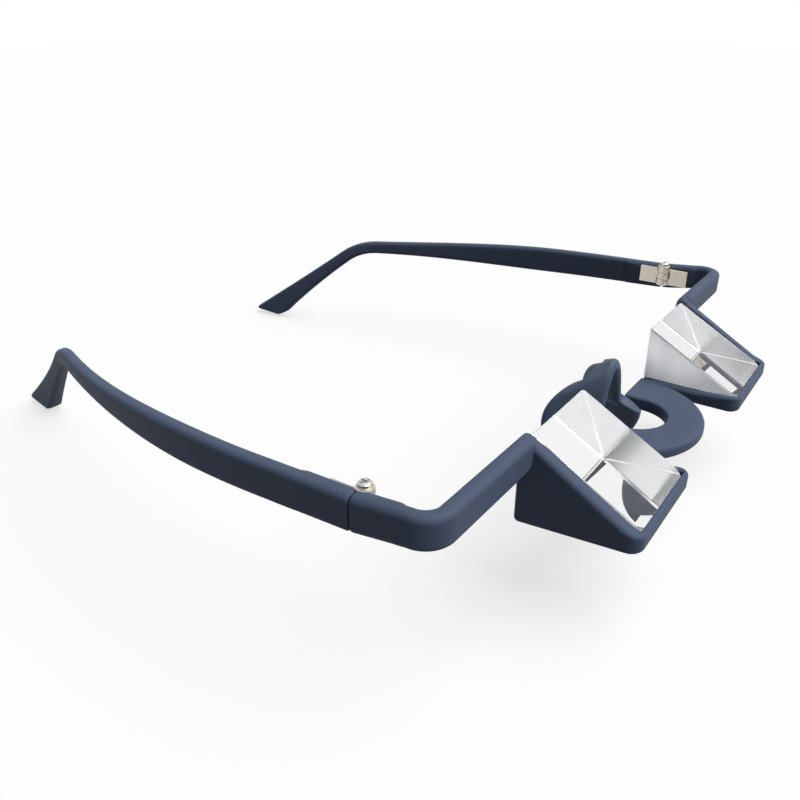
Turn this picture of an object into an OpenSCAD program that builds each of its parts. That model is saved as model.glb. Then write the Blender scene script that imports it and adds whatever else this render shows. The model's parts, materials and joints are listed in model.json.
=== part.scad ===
// Belay glasses: a moulded front with two view-turning prisms, a nose saddle and two folding temples.
// Units are millimetres. +X is the wearer's left, +Y runs back towards the ears, +Z is up.
// The origin is the middle of the bridge plate's underside.

/* [Prisms] */
// Width of each prism, side to side
glass_w = 21.4; // [16:0.1:26]
// Depth of each prism, front to back
glass_d = 20; // [16:0.5:24]
// Angle between the sloping face and the mirrored base
glass_angle = 30; // [24:0.5:34]
// Height of the blunt front edge
glass_land = 0.35; // [0.2:0.05:0.6]
// Clear distance between the two prisms, across the nose
eye_gap = 36.7; // [33:0.1:42]
// Cut across the upright corners, seen from above
glass_corner = 1; // [0.6:0.1:2]
// Bevel along the sloping face's edges
glass_bevel = 0.35; // [0.2:0.05:0.5]
// Thickness of the mirror layer under the prism
mirror_t = 0.1; // [0.05:0.01:0.2]
// Thickness of the adhesive bed under the mirror
bond_t = 0.15; // [0.05:0.01:0.4]
// How far the adhesive bed stays inside the prism's outline
bond_inset = 0.6; // [0.3:0.1:1.5]
// Play round the prism in its tray
glass_play = 0.1; // [0.05:0.05:0.3]

/* [Glass trays] */
// Thickness of the tray floor
floor_t = 2.55; // [2:0.05:4]
// Width of the tray's rim on the nose side
rim_w = 1.75; // [1:0.05:2.5]
// Length over which the rim falls from the front lip to the prism's base
rim_fall_l = 8; // [4:0.5:14]
// Thickness of the front lip
lip_t = 1; // [1:0.1:2.5]
// Height of the front lip above the prism's base
lip_h = 0.7; // [0.3:0.05:1.5]
// Rounding of the front lip's outer top edge
lip_r = 0.7; // [0.3:0.05:0.8]
// Rounding of the tray's front bottom edge
chin_r = 1.5; // [0.8:0.1:1.8]
// Thickness of the side plates
side_t = 2.6; // [2:0.1:4]
// How far a side plate stands above the prism's back edge
side_rise = 0.65; // [0.3:0.05:1.5]
// How far a side plate hangs below the tray at its rear corner
side_drop = 1.8; // [0:0.1:2.4]
// Corner radius of a side plate, in side view
side_r = 1.2; // [0.8:0.1:1.6]
// Softening of a side plate's outer edges
side_soft = 0.7; // [0.3:0.05:0.75]
// How far the side plates and arms reach behind the prism
rear_margin = 1; // [0.5:0.1:2]
// Corner radius of the trays, seen from above
tray_r = 2.4; // [1.2:0.1:3]
// Softening of the moulding's other edges
edge = 0.6; // [0.3:0.05:0.9]

/* [Bridge] */
// Thickness of the bridge plate
bridge_t = 2.8; // [2.4:0.1:3.5]
// How far the bridge's round front edge runs out over the trays
bridge_reach = 1; // [0.5:0.1:3]
// Width of the band in front of the nose gap
bridge_band = 7.2; // [5:0.1:9]
// Radius of the nose gap
nose_r = 7; // [6.9:0.1:8]
// Depth of the nose gap, from the back of the prisms
nose_depth = 11; // [9:0.1:13]

/* [Arms] */
// How far the arm's top lies below the side plate's peak
arm_sink = 0.5; // [0.3:0.1:1]
// Height of the arms
arm_h = 6; // [5:0.1:6.6]
// Thickness of the arms, front to back
arm_t = 3; // [2.4:0.05:3.4]
// How far the arm's inner end stays outside the side plate's inner face
arm_inset = 0.15; // [0.1:0.05:1]
// Half of the overall width, at the hinges
half_w = 71.3; // [66:0.1:80]
// Outer radius of the corner between arm and end-piece
corner_r = 5.3; // [3.8:0.1:6]
// How far the end-piece's middle lies below the arm's middle
end_fall = 1.2; // [0:0.1:2]
// Height of the end-piece at the hinge
end_h = 6.6; // [5.6:0.1:7.2]
// Thickness of the end-piece beside the hinge
end_t = 3.45; // [3.3:0.05:3.6]
// Where the end-piece meets the temple, behind the back of the prisms
joint_back = 13.2; // [12.5:0.1:20]
// Open gap between end-piece and temple
joint_gap = 0.3; // [0.2:0.05:0.5]

/* [Nose saddle] */
// Height of the saddle's crest above the bridge plate
saddle_h = 9.5; // [7:0.1:12]
// Fall of the crest from front to back
saddle_fall = 1.9; // [0:0.1:3]
// Front of the crest, behind the back of the prisms
crest_y = 0.25; // [0:0.05:1.5]
// Back of the crest, behind the back of the prisms
crest_back = 3; // [2.4:0.1:5]
// Half of the saddle's width at its front edge, in the middle of the wall
saddle_front_w = 5.15; // [4.6:0.05:5.3]
// Half of the saddle's width at its rear edge, in the middle of the wall
saddle_rear_w = 10.8; // [8:0.1:12]
// Reach of the legs ahead of the back of the prisms, inside the nose gap
leg_reach = 4.4; // [3.5:0.1:6]
// Reach of the wings behind the back of the prisms
wing_reach = 10.9; // [8:0.1:11.5]
// How far the wings hang below the saddle's widest line
wing_drop = 6; // [3:0.1:8]
// Wall of the wings
saddle_wall = 2; // [1.6:0.1:2.2]
// Extra wall at the crest
crest_wall = 1; // [0:0.1:1.5]
// Play between the saddle and the bridge plate
saddle_play = 0.1; // [0.05:0.01:0.2]
// Length of the two keys that hold the saddle in the bridge plate
key_l = 2.2; // [1.6:0.1:2.8]
// Height of the keys
key_h = 1.2; // [0.8:0.1:1.6]
// Depth of the keys in the plate
key_d = 1.3; // [0.8:0.1:2]
// Distance from the back of the prisms forward to the keys
key_ahead = 0.9; // [0.6:0.1:2]

/* [Temples] */
// Length from the joint to the bend, along Y
shank_l = 94.8; // [90:0.1:105]
// Straight stretch behind the joint, before the temple bows inwards
straight_l = 19; // [13:0.5:24]
// Radius of the inward bow, seen from above
bow_r = 187; // [180:1:240]
// Height of the temple at the joint
temple_h = 6.5; // [5.6:0.1:7]
// Height of the temple where it is tallest, along the shank
mid_h = 6.9; // [6:0.1:7.4]
// Height of the temple at its neck, by the bend
neck_h = 3.7; // [3:0.1:4.5]
// Height of the flared tip, square to the drop
tip_h = 6.85; // [5:0.05:9]
// Thickness of the shank
temple_t = 3; // [2.7:0.05:3.2]
// Thickness of the tip
tip_t = 4.3; // [3:0.1:5]
// Rounding of the temple's edges
temple_r = 1.1; // [0.6:0.1:1.2]
// Fall of the shank's centre line, from the joint to the bend
shank_fall = 3.4; // [1:0.1:6]
// Turn of the tip's end cut from square
tip_cut = 41; // [0:1:44]
// Angle of the drop behind the ear, below the horizontal
drop_angle = 38; // [30:0.5:50]
// Length of the drop behind the ear
drop_l = 42.8; // [35:0.1:50]
// Radius of the bend above the ear, along the centre line
bend_r = 13; // [8:0.5:16]
// Radius of the drop's outward curve, seen from above
drop_bow_r = 153; // [120:1:200]

/* [Hinges] */
// Diameter of the hinge knuckles
knuckle_d = 3.1; // [2.8:0.1:3.3]
// Height of each front knuckle
front_knuckle_h = 1.65; // [1.4:0.05:1.8]
// Height of the temple knuckle
temple_knuckle_h = 1.8; // [1.4:0.05:2.2]
// Play between two knuckles, along the axis
knuckle_play = 0.05; // [0.03:0.01:0.1]
// Room round the knuckles, on the radius
knuckle_room = 0.25; // [0.15:0.05:0.4]
// Distance from the hinge axis forward to the temple joint's middle
axis_ahead = 0.4; // [0.2:0.05:0.6]
// Distance from the outer face in to the hinge axis
axis_in = 3.8; // [3.6:0.05:4]
// Thickness of the hinge leaves
leaf_t = 0.9; // [0.7:0.05:1]
// Length of the leaves from the hinge axis
leaf_l = 6.4; // [5.8:0.1:6.8]
// Height of the leaves
leaf_h = 4.4; // [4.2:0.1:4.6]
// How far the leaves' middle lies above the end-piece's middle
leaf_lift = 0.3; // [0:0.1:0.5]
// How deep a leaf is let into the moulding
leaf_sink = 0.5; // [0.3:0.05:0.6]
// Play round a leaf and its tongue
leaf_play = 0.05; // [0.03:0.01:0.1]
// Moulding beyond a leaf's end, at full thickness
boss_land = 0.6; // [0.4:0.1:1]
// Length of the temple's thicker part, behind the joint
boss_l = 9.5; // [7:0.1:12]
// Length of the slope between the thicker part and the arm or shank
boss_ramp = 1.5; // [0.5:0.1:3]
// Depth of the anchor tongue behind a leaf
tongue_d = 1.2; // [0.8:0.1:1.3]
// Length of the anchor tongue
tongue_l = 2.6; // [2:0.1:3]
// Height of the anchor tongue
tongue_h = 1.8; // [1.2:0.1:2.4]
// Diameter of the hinge screw's shank
screw_d = 1.4; // [1.2:0.1:1.5]
// Diameter of the screw head
head_d = 2.3; // [2:0.1:2.6]
// Height of the screw head
head_h = 0.9; // [0.6:0.05:1.1]
// Running clearance between screw and knuckle, on the radius
screw_play = 0.05; // [0.02:0.01:0.08]
// Depth of the cross recess
recess_d = 0.5; // [0.3:0.05:0.55]
// Width of the cross recess's arms
recess_w = 0.32; // [0.2:0.02:0.4]

/* [Hidden] */

navy = "#2b3548";
clear = "#dfe9ec";
silver = "#c9cdd2";
glue = "#e6e2d2";
nickel = "#b9b3a6";
steel = "#9aa0a6";
eps = 0.01;                                    // overlap of pieces that join

// Levels and planes of the front
glass_y = nose_depth + bridge_band / 2;        // back of the prisms
glass_z = floor_t + bond_t + mirror_t;         // underside of the prisms
glass_x = eye_gap / 2;                         // inner face of a prism
glass_h = glass_d * tan(glass_angle);
glass_slope = (glass_h - glass_land) / glass_d;
lip_y = glass_y - glass_d - glass_play;        // inner face of the front lip
lip_z = glass_z + lip_h;
front_y = lip_y - lip_t;
rear_y = glass_y + rear_margin;
side_x = glass_x + glass_w + glass_play;       // inner face of a side plate
outer_x = side_x + side_t;
inner_x = glass_x - rim_w;
bridge_r = inner_x + bridge_reach;

// A side plate's top edge leaves the prism's front edge and rises faster than the sloping face
ridge_slope = glass_slope + side_rise / glass_d;
crown_z = glass_z + glass_land + (glass_d + rear_margin) * ridge_slope;
brow_z = glass_z + glass_land - (lip_t + glass_play) * ridge_slope;

// Arms and end-pieces
arm_y = rear_y - arm_t;
arm_z = crown_z - arm_sink - arm_h;
arm_x = side_x + arm_inset;                    // the arm's inner end shows on top of the side plate
bend_x = half_w - corner_r;
bend_y = arm_y + corner_r;
arm_mid_z = arm_z + arm_h / 2;
end_z = arm_mid_z - end_fall;                  // middle of the end-piece at the hinge
joint_y = glass_y + joint_back;
end_y = joint_y - joint_gap / 2;               // the end-piece stops here
start_y = joint_y + joint_gap / 2;             // the temple starts here

// Hinge axis and levels
axis_x = half_w - axis_in;
axis_y = joint_y - axis_ahead;
leaf_z = end_z + leaf_lift - leaf_h / 2;
mid_z = leaf_z + front_knuckle_h + knuckle_play;
upper_z = mid_z + temple_knuckle_h + knuckle_play;
barrel_top = upper_z + front_knuckle_h;
room_h = max(end_h, temple_h) + 2;             // the barrel's room runs out above and below
boss_x = half_w - end_t;                       // inner face beside the hinge
boss_y = axis_y - leaf_l - boss_land;          // the end-piece is thickest from here back
leaf_x = boss_x + leaf_sink;                   // outer face of a leaf
web_y = knuckle_d / 2 + knuckle_room - leaf_play;  // where a leaf's full height starts
tongue_y = (leaf_l + web_y - tongue_l) / 2;

// Saddle and temple lines
saddle_z = bridge_t / 5;                       // level of the saddle's widest line
key_y = glass_y - key_ahead - key_l;
bend_cut = bend_r * tan(drop_angle / 2);
flat_l = shank_l - bend_cut;
arc_l = bend_r * drop_angle * PI / 180;
tail_l = drop_l - bend_cut;

// Offset of a convex corner b inwards, along the line between its neighbours a and c
function inward(a, b, c, r) =
    let (u = (a - b) / norm(a - b), v = (c - b) / norm(c - b))
    b + (u + v) / norm(u + v) * r / sin(acos(u * v) / 2);

// Rounds the corners of a convex outline, counter-clockwise, each with its own radius
function corner(a, b, c, r, n) =
    let (centre = inward(a, b, c, r),
         half = acos((a - b) * (c - b) / norm(a - b) / norm(c - b)) / 2,
         from = (b - a) / norm(b - a),
         start = atan2(-from[0], from[1]),
         sweep = 180 - 2 * half)
    [for (i = [0:n]) centre + r * [cos(start + sweep * i / n), sin(start + sweep * i / n)]];
function rounded(pts, radii, n = 6) =
    let (m = len(pts))
    [for (i = [0:m - 1]) each corner(pts[(i + m - 1) % m], pts[i], pts[(i + 1) % m], radii[i], n)];

// Moves all sides of a convex outline inwards
function inset(pts, r) =
    let (m = len(pts))
    [for (i = [0:m - 1]) inward(pts[(i + m - 1) % m], pts[i], pts[(i + 1) % m], r)];

// Draws a set of equal rings as one closed skin with flat ends
module skin(rings) {
    n = len(rings[0]);
    m = len(rings);
    points = [for (ring = rings) each ring];
    sides = [for (i = [0:m - 2], j = [0:n - 1])
        let (k = (j + 1) % n)
        each [[i * n + j, i * n + k, (i + 1) * n + k], [i * n + j, (i + 1) * n + k, (i + 1) * n + j]]];
    first = [for (j = [1:n - 2]) [0, j + 1, j]];
    last = [for (j = [1:n - 2]) [(m - 1) * n, (m - 1) * n + j, (m - 1) * n + j + 1]];
    polyhedron(points, concat(sides, first, last), convexity = 8);
}

// Builds the wearer's right side by mirroring the left
module on_side(name) {
    mirror([name == "right" ? 1 : 0, 0, 0]) children();
}

// Turns what is drawn behind the hinge axis to lie ahead of it
module ahead_or_behind(side) {
    mirror([0, side < 0 ? 1 : 0, 0]) children();
}

// Draws a side view, with Y across and Z up, and runs it out along +X
module along_x(from, to) {
    translate([from, 0, 0]) rotate([90, 0, 90]) linear_extrude(to - from) children();
}

// Front frame
module tray_plan() {
    polygon(rounded([[inner_x, front_y], [outer_x, front_y], [outer_x, rear_y], [inner_x, rear_y]],
                    [tray_r, tray_r, edge, edge]));
}

// Side view of the tray's block, with its rounded front
module tray_profile() {
    polygon(rounded([[front_y, 0], [glass_y, 0], [glass_y, lip_z], [front_y, lip_z]],
                    [chin_r, edge / 2, edge / 2, lip_r]));
}

// Side view of what is cut away above the nose-side rim
module rim_cut() {
    above = lip_z + lip_h;
    polygon([[lip_y, lip_z], [lip_y + rim_fall_l, glass_z], [glass_y + glass_play, glass_z],
             [glass_y + glass_play, above], [lip_y, above]]);
}

// Side plate, its outer edges softened and its inner ones crisp
module side_plate() {
    corners = [[front_y, 0], [rear_y, -side_drop], [rear_y, crown_z], [front_y, brow_z]];
    small_r = side_r - side_soft;
    hull() {
        along_x(side_x, outer_x - side_soft) polygon(rounded(corners, [side_r, side_r, side_r, side_r]));
        along_x(side_x, outer_x)
            polygon(rounded(inset(corners, side_soft), [small_r, small_r, small_r, small_r]));
    }
}

module cradle() {
    intersection() {
        translate([0, 0, -side_drop - 1]) linear_extrude(crown_z + side_drop + 2) tray_plan();
        union() {
            difference() {
                along_x(inner_x, outer_x) tray_profile();
                along_x(inner_x - 1, glass_x) rim_cut();
                translate([glass_x - glass_play, lip_y, floor_t])
                    cube([glass_w + 2 * glass_play, glass_d + 1, glass_h]);
            }
            side_plate();
        }
    }
}

// Section of an arm or end-piece: a rectangle from [0, 0] with cut corners
function bar_outline(thick, high) =
    [[edge, 0], [thick - edge, 0], [thick, edge], [thick, high - edge],
     [thick - edge, high], [edge, high], [0, high - edge], [0, edge]];

// Ring of the end-piece at a distance y; it thickens to the boss and sinks to the joint
function end_ring(y) =
    let (share = (y - bend_y) / (end_y - bend_y),
         thick = y < boss_y - eps ? arm_t : end_t,
         high = arm_h + (end_h - arm_h) * share,
         z = arm_mid_z - end_fall * share - high / 2)
    [for (q = bar_outline(thick, high)) [half_w - thick + q[0], y, z + q[1]]];

module arm() {
    translate([0, arm_y, arm_z]) along_x(arm_x, bend_x + eps) polygon(bar_outline(arm_t, arm_h));
    translate([bend_x, bend_y, arm_z]) rotate([0, 0, -90]) rotate_extrude(angle = 90, $fn = 96)
        translate([corner_r - arm_t, 0]) polygon(bar_outline(arm_t, arm_h));
    ramp_y = max(boss_y - boss_ramp, (bend_y + boss_y) / 2);
    skin([for (y = [bend_y - eps, ramp_y, boss_y, end_y]) end_ring(y)]);
}

// Room for one hinge leaf with its tongue, and for the barrel; side is 1 behind the axis, -1 ahead
module leaf_room(side) {
    translate([axis_x, axis_y, end_z - room_h / 2])
        cylinder(h = room_h, r = knuckle_d / 2 + knuckle_room, $fn = 64);
    translate([axis_x, axis_y, 0]) ahead_or_behind(side) {
        translate([boss_x - axis_x - 1, 0, leaf_z - leaf_play])
            cube([1 + leaf_sink + leaf_play, leaf_l + leaf_play, leaf_h + 2 * leaf_play]);
        translate([leaf_x - axis_x - eps, tongue_y - leaf_play, leaf_z + (leaf_h - tongue_h) / 2 - leaf_play])
            cube([tongue_d + leaf_play, tongue_l + 2 * leaf_play, tongue_h + 2 * leaf_play]);
    }
}

// The bridge plate is part of a round disc with softened edges, cut open for the nose
module bridge() {
    centre_y = bridge_r - bridge_band / 2;
    gap_y = glass_y - nose_depth + nose_r;
    top_soft = 1.6 * edge;
    difference() {
        intersection() {
            translate([0, centre_y, 0]) rotate_extrude($fn = 128)
                polygon([[0, 0], [bridge_r - edge, 0], [bridge_r, edge], [bridge_r, bridge_t - edge * 2],
                         [bridge_r - top_soft, bridge_t], [0, bridge_t]]);
            translate([-inner_x - 1, -bridge_r, -1])
                cube([2 * inner_x + 2, bridge_r + glass_y, bridge_t + 2]);
        }
        translate([0, gap_y, -1]) cylinder(h = bridge_t + 2, r = nose_r, $fn = 96);
        translate([0, gap_y, bridge_t - edge])
            cylinder(h = edge + eps, r1 = nose_r, r2 = nose_r + edge, $fn = 96);
        translate([-nose_r, gap_y, -1]) cube([2 * nose_r, nose_depth, bridge_t + 2]);
        for (s = [-1, 1])
            translate([s * nose_r, gap_y, bridge_t]) rotate([0, 45, 0])
                translate([-edge / sqrt(2), 0, -edge / sqrt(2)])
                    cube([edge * sqrt(2), nose_depth, edge * sqrt(2)]);
        for (s = [0, 1])
            mirror([s, 0, 0])
                translate([nose_r - eps, key_y - saddle_play, (bridge_t - key_h) / 2 - saddle_play])
                cube([key_d + saddle_play, key_l + 2 * saddle_play, key_h + 2 * saddle_play]);
    }
}

module front_frame() {
    color(navy) difference() {
        union() {
            bridge();
            for (name = ["right", "left"])
                on_side(name) {
                    cradle();
                    arm();
                }
        }
        for (name = ["right", "left"])
            on_side(name) leaf_room(-1);
    }
}

// Nose saddle: a curved wall that runs from one wing, over the crest, to the other.
// u runs across the nose, past -1 and 1 along the hanging wings; v runs from 0 in front to 1 behind.
saddle_end = 1.5;
waist_front = 0.48;                            // share by which the arch sinks at its shoulders, in front
waist_back = -0.09;                            // the same at the back, where it bulges
function saddle_mid(u, v) =
    let (angle = 90 * min(abs(u), 1),
         over = max(abs(u) - 1, 0),
         wide = saddle_front_w + (saddle_rear_w - saddle_front_w) * pow(max(v, 0), 1.86),
         high = saddle_h + bridge_t - saddle_z - saddle_fall * v,
         waist = waist_front + (waist_back - waist_front) * v,
         front = crest_y - (crest_y + leg_reach) * pow(sin(angle), 60) + 2 * leg_reach * over * over,
         back = crest_back + (wing_reach - crest_back) * pow(sin(angle), 1.58) - wing_reach * over * over)
    [sign(u) * (wide * sin(angle) + 0.15 * over),
     glass_y + front + (back - front) * v,
     saddle_z + high * cos(angle) * (1 - waist * pow(sin(angle), 2)) - wing_drop / (saddle_end - 1) * over];
function saddle_normal(u, v) =
    let (across = saddle_mid(u + 0.01, v) - saddle_mid(u - 0.01, v),
         along = saddle_mid(u, v + 0.02) - saddle_mid(u, v - 0.02),
         n = cross(across, along))
    n / norm(n);

// Ring of n points round the wall; the power squares its round section
function saddle_ring(u, shrink, n) =
    let (wall = saddle_wall + crest_wall * pow(cos(90 * u / saddle_end), 4), power = 0.55)
    [for (i = [0:n - 1])
        let (a = -360 * i / n,
             v = 0.5 + 0.5 * shrink * sign(cos(a)) * pow(abs(cos(a)), power),
             off = 0.5 * wall * shrink * sign(sin(a)) * pow(abs(sin(a)), power))
        saddle_mid(u, v) + saddle_normal(u, v) * off];

// Shrinks the rings over the last part of each wing, to round its end
function end_shrink(u) =
    let (x = min((saddle_end - abs(u)) / saddle_end * 12, 1))
    0.55 + 0.45 * sqrt(1 - pow(1 - x, 2));

module nose_saddle() {
    steps = 30;
    color(navy) {
        skin([for (i = [-steps:steps])
            let (u = saddle_end * i / steps)
            saddle_ring(u, end_shrink(u), 24)]);
        for (s = [0, 1])
            mirror([s, 0, 0]) translate([saddle_front_w, key_y, (bridge_t - key_h) / 2])
                cube([nose_r + key_d - saddle_front_w, key_l, key_h]);
    }
}

// Prisms, mirror layers and adhesive beds: X runs out and Y back from a prism's inner rear corner
function glass_top(y) = glass_land + (y + glass_d) * glass_slope;

// Side view of the prism, shorter by an inset at both ends, its sloping face lowered by sink
function wedge(inset, sink) =
    let (back = -inset - glass_bevel, ahead = inset - glass_d)
    [[ahead, 0], [-inset, 0], [-inset, glass_top(-inset) - sink - glass_bevel],
     [back, glass_top(back + glass_bevel) - sink], [ahead, glass_top(ahead) - sink]];

module prism(name) {
    color(clear, 0.5) on_side(name) translate([glass_x, glass_y, glass_z]) hull() {
        along_x(0, glass_w) polygon(wedge(glass_corner, glass_bevel / cos(glass_angle)));
        along_x(glass_bevel, glass_w - glass_bevel) polygon(wedge(glass_corner - glass_bevel, 0));
        along_x(glass_corner, glass_w - glass_corner) polygon(wedge(0, 0));
    }
}

// Plan of the prism's base, smaller by a margin all round
module base_plan(margin) {
    cut = glass_corner - (2 - sqrt(2)) * margin;
    x = [margin, margin + cut, glass_w - margin - cut, glass_w - margin];
    y = [margin - glass_d, margin + cut - glass_d, -margin - cut, -margin];
    polygon([[x[1], y[0]], [x[2], y[0]], [x[3], y[1]], [x[3], y[2]],
             [x[2], y[3]], [x[1], y[3]], [x[0], y[2]], [x[0], y[1]]]);
}

module mirror_layer(name) {
    color(silver) on_side(name) translate([glass_x, glass_y, floor_t + bond_t])
        linear_extrude(mirror_t) base_plan(0);
}

module adhesive_bed(name) {
    color(glue) on_side(name) translate([glass_x, glass_y, floor_t])
        linear_extrude(bond_t) base_plan(bond_inset);
}

// Hinges
module knuckle(z, high) {
    translate([axis_x, axis_y, z]) cylinder(h = high, d = knuckle_d, $fn = 48);
}

module screw_bore() {
    translate([axis_x, axis_y, leaf_z - 1])
        cylinder(h = barrel_top - leaf_z + 2, r = screw_d / 2 + screw_play, $fn = 32);
}

// The flat of a leaf with its anchor tongue; side is 1 behind the axis, -1 ahead of it
module leaf_plate(side) {
    translate([leaf_x - leaf_t, axis_y, leaf_z]) ahead_or_behind(side) {
        translate([0, web_y, 0]) cube([leaf_t, leaf_l - web_y, leaf_h]);
        translate([leaf_t - eps, tongue_y, (leaf_h - tongue_h) / 2]) cube([tongue_d, tongue_l, tongue_h]);
    }
}

// Joins a knuckle to its leaf
module leaf_web(side, z, high) {
    translate([leaf_x - leaf_t, axis_y, z]) ahead_or_behind(side) cube([leaf_t, web_y + eps, high]);
}

module front_leaf(name) {
    color(nickel) on_side(name) difference() {
        union() {
            leaf_plate(-1);
            knuckle(leaf_z, front_knuckle_h);
            knuckle(upper_z, front_knuckle_h);
            leaf_web(-1, leaf_z, front_knuckle_h);
            leaf_web(-1, upper_z, leaf_z + leaf_h - upper_z);
        }
        screw_bore();
    }
}

module temple_leaf(name) {
    color(nickel) on_side(name) difference() {
        union() {
            leaf_plate(1);
            knuckle(mid_z, temple_knuckle_h);
            leaf_web(1, mid_z, temple_knuckle_h);
        }
        screw_bore();
    }
}

module hinge_screw(name) {
    rim_h = head_h * 0.7;
    color(steel) on_side(name) translate([axis_x, axis_y, 0]) difference() {
        union() {
            translate([0, 0, leaf_z]) cylinder(h = barrel_top - leaf_z + eps, d = screw_d, $fn = 32);
            translate([0, 0, barrel_top]) cylinder(h = rim_h, d = head_d, $fn = 48);
            translate([0, 0, barrel_top + rim_h])
                cylinder(h = head_h - rim_h, d1 = head_d, d2 = head_d * 0.75, $fn = 48);
        }
        for (a = [20, 110])
            translate([0, 0, barrel_top + head_h - recess_d / 2 + eps]) rotate([0, 0, a])
                cube([head_d * 0.7, recess_w, recess_d], center = true);
    }
}

// Temples: rings swept along the shank, round the bend and down to the tip.
// Outer face of the temple, seen from above, at a distance l behind the joint
function bow(l) =
    let (curved = min(max(l, straight_l), shank_l) - straight_l,
         past = max(l - shank_l, 0),
         slope = (shank_l - straight_l) / bow_r)
    half_w - curved * curved / (2 * bow_r) - slope * past + past * past / (2 * drop_bow_r);

// Share of the way from one distance to another, kept between 0 and 1
function share_of(d, from, to) = min(max((d - from) / (to - from), 0), 1);

// Centre line in side view at a length d along it:
// [distance behind the joint, height, downward angle, share of the drop's straight part]
function path_point(d) =
    let (a = share_of(d, flat_l, flat_l + arc_l) * drop_angle,
         down = max(d - flat_l - arc_l, 0))
    [min(d, flat_l) + bend_r * sin(a) + down * cos(drop_angle),
     end_z - shank_fall * min(d, flat_l) / shank_l - bend_r * (1 - cos(a)) - down * sin(drop_angle),
     a, down / tail_l];

// Height of the temple at a point of the centre line
function temple_high(p) =
    let (rise = share_of(p[0], 0, 0.35 * shank_l),
         neck = share_of(p[0], 0.35 * shank_l, 0.98 * shank_l))
    temple_h + (mid_h - temple_h) * rise + (neck_h - mid_h) * neck * neck * (3 - 2 * neck)
        + (tip_h - neck_h) * pow(p[3], 1.14);

// Ring at a length d: it is thicker beside the hinge and at the tip, whose end is slanted and rounded
function temple_ring(d, shrink) =
    let (p = path_point(d),
         high = temple_high(p),
         shank_t = end_t + (temple_t - end_t) * share_of(d, boss_l, boss_l + boss_ramp),
         thick = shank_t + (tip_t - temple_t) * pow(p[3], 1.5),
         r = min(temple_r, 0.4 * thick),
         section = rounded([[-thick, -high / 2], [0, -high / 2], [0, high / 2], [-thick, high / 2]],
                           [r, r, r, r], 3),
         mid = [-thick / 2, 0],
         slant = tip_h / 2 * tan(tip_cut))
    [for (q = section)
        let (c = mid + (q - mid) * shrink,
             b = 2 * c[1] / high,
             e = path_point(d + p[3] * p[3] * (slant * b - 0.8 * pow(b, 6))),
             up = b * temple_high(e) / 2)
        [bow(e[0]) + c[0], start_y + e[0] + up * sin(e[2]), e[1] + up * cos(e[2])]];

module temple(name) {
    steps = 42;
    bar_l = boss_l + boss_ramp;
    total = flat_l + arc_l + tail_l;
    color(navy) on_side(name) difference() {
        skin(concat([temple_ring(0, 1), temple_ring(boss_l, 1)],
                    [for (i = [0:steps])
                        temple_ring(bar_l + (total - bar_l) * i / steps, i == steps ? 0.8 : 1)]));
        leaf_room(1);
    }
}

module prism_right() { prism("right"); }
module prism_left() { prism("left"); }
module mirror_layer_right() { mirror_layer("right"); }
module mirror_layer_left() { mirror_layer("left"); }
module adhesive_bed_right() { adhesive_bed("right"); }
module adhesive_bed_left() { adhesive_bed("left"); }
module front_leaf_right() { front_leaf("right"); }
module front_leaf_left() { front_leaf("left"); }
module hinge_screw_right() { hinge_screw("right"); }
module hinge_screw_left() { hinge_screw("left"); }
module temple_right() { temple("right"); }
module temple_left() { temple("left"); }
module temple_leaf_right() { temple_leaf("right"); }
module temple_leaf_left() { temple_leaf("left"); }

front_frame();
nose_saddle();
prism_right();
prism_left();
mirror_layer_right();
mirror_layer_left();
adhesive_bed_right();
adhesive_bed_left();
front_leaf_right();
front_leaf_left();
hinge_screw_right();
hinge_screw_left();
temple_right();
temple_left();
temple_leaf_right();
temple_leaf_left();
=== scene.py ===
"""Dresses the belay glasses: soft-touch mouldings, glass prisms, a nose saddle, temples and hinges.

A piece is modelled in millimetres in the part's own frame, and its finished mesh is brought to metres.
+X is the wearer's left, +Y runs back towards the ears, and +Z is up.
"""

import json
import logging
import math
from contextlib import contextmanager
from dataclasses import dataclass
from enum import Enum
from typing import Callable, Iterator, Sequence

import bmesh
import bpy
from mathutils import Matrix, Vector

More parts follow.
